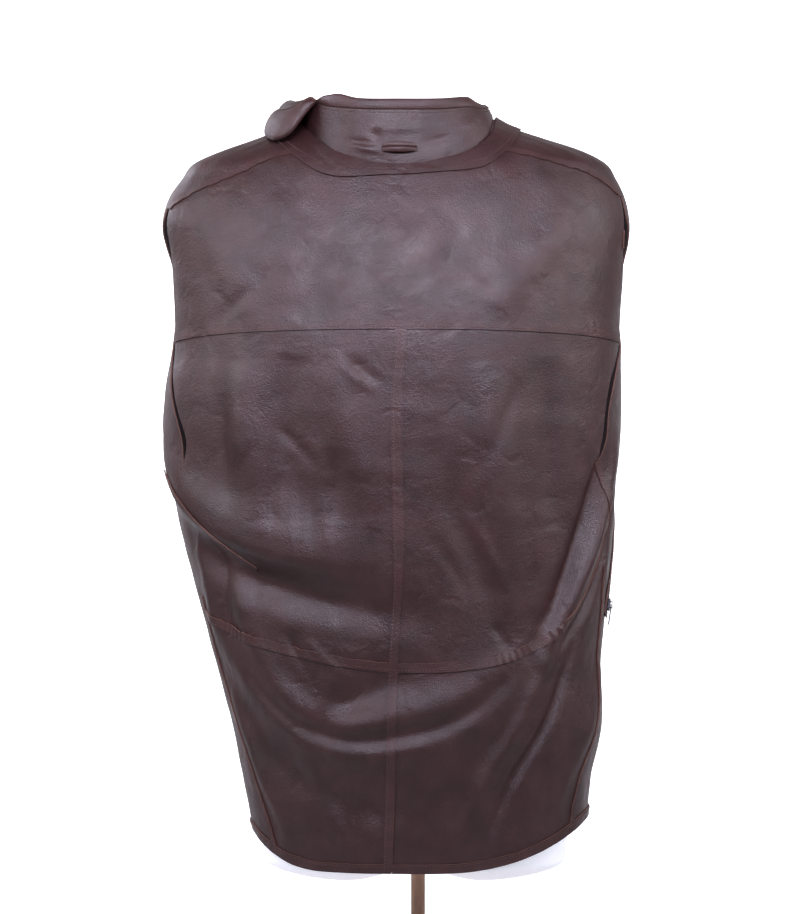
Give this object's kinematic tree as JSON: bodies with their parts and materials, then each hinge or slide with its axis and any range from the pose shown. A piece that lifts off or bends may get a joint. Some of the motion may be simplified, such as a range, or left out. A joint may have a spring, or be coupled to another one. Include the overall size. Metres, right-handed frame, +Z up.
{
  "type": "sleeveless leather jacket on a dress form with a counter stand",
  "caption": "Sleeveless zip-front leather jacket with yoke, waist seam, open collar and shirt-tail hem, worn on a white limbless torso form on a wooden pole and round base.",
  "frame": {"origin": "centre of the base's underside, under the pole", "axes": "+Z up, +Y out of the wearer's back, -Y out of the front, +X to the wearer's left"},
  "size_m": [0.4655, 0.3, 0.971],
  "materials": {
    "leather": "thin dark brown leather, soft sheen",
    "zip_tape": "woven zip tape",
    "zip_metal": "dark gunmetal",
    "form_cover": "smooth white cover",
    "wood": "satin varnish"
  },
  "bodies": {
    "jacket_on_form": {"back_lower_left": "leather", "back_left": "leather", "back_lower_right": "leather", "back_right": "leather", "back_yoke": "leather", "front_left": "leather", "front_right": "leather", "collar": "leather", "collar_edge": "leather", "hanger_loop": "leather", "neck_facing": "leather", "zip_tape_left": "zip_tape", "zip_tape_right": "zip_tape", "pocket_zip_left": "zip_tape", "pocket_zip_right": "zip_tape", "slider_pocket_left": "zip_metal", "slider_pocket_right": "zip_metal", "slider_front": "zip_metal", "form_torso": "form_cover", "stand_pole": "wood", "stand_base": "wood"},
    "front_pull": {"pull_front": "zip_metal"},
    "pocket_pull_left": {"pull_pocket_left": "zip_metal"},
    "pocket_pull_right": {"pull_pocket_right": "zip_metal"}
  },
  "joints": [
    {"name": "front_pull_turn", "type": "hinge", "parent": "jacket_on_form", "child": "front_pull", "pos_m": [0.02088, -0.12183, 0.73825], "axis": [-0.9999, -0.0021, -0.0142], "range_deg": [0, 160]},
    {"name": "pocket_pull_left_turn", "type": "hinge", "parent": "jacket_on_form", "child": "pocket_pull_left", "pos_m": [0.21971, -0.04179, 0.47906], "axis": [-0.3943, -0.8864, -0.2425], "range_deg": [0, 160]},
    {"name": "pocket_pull_right_turn", "type": "hinge", "parent": "jacket_on_form", "child": "pocket_pull_right", "pos_m": [-0.1921, 0.01763, 0.46803], "axis": [0.1125, 0.9269, 0.358], "range_deg": [0, 160]}
  ]
}
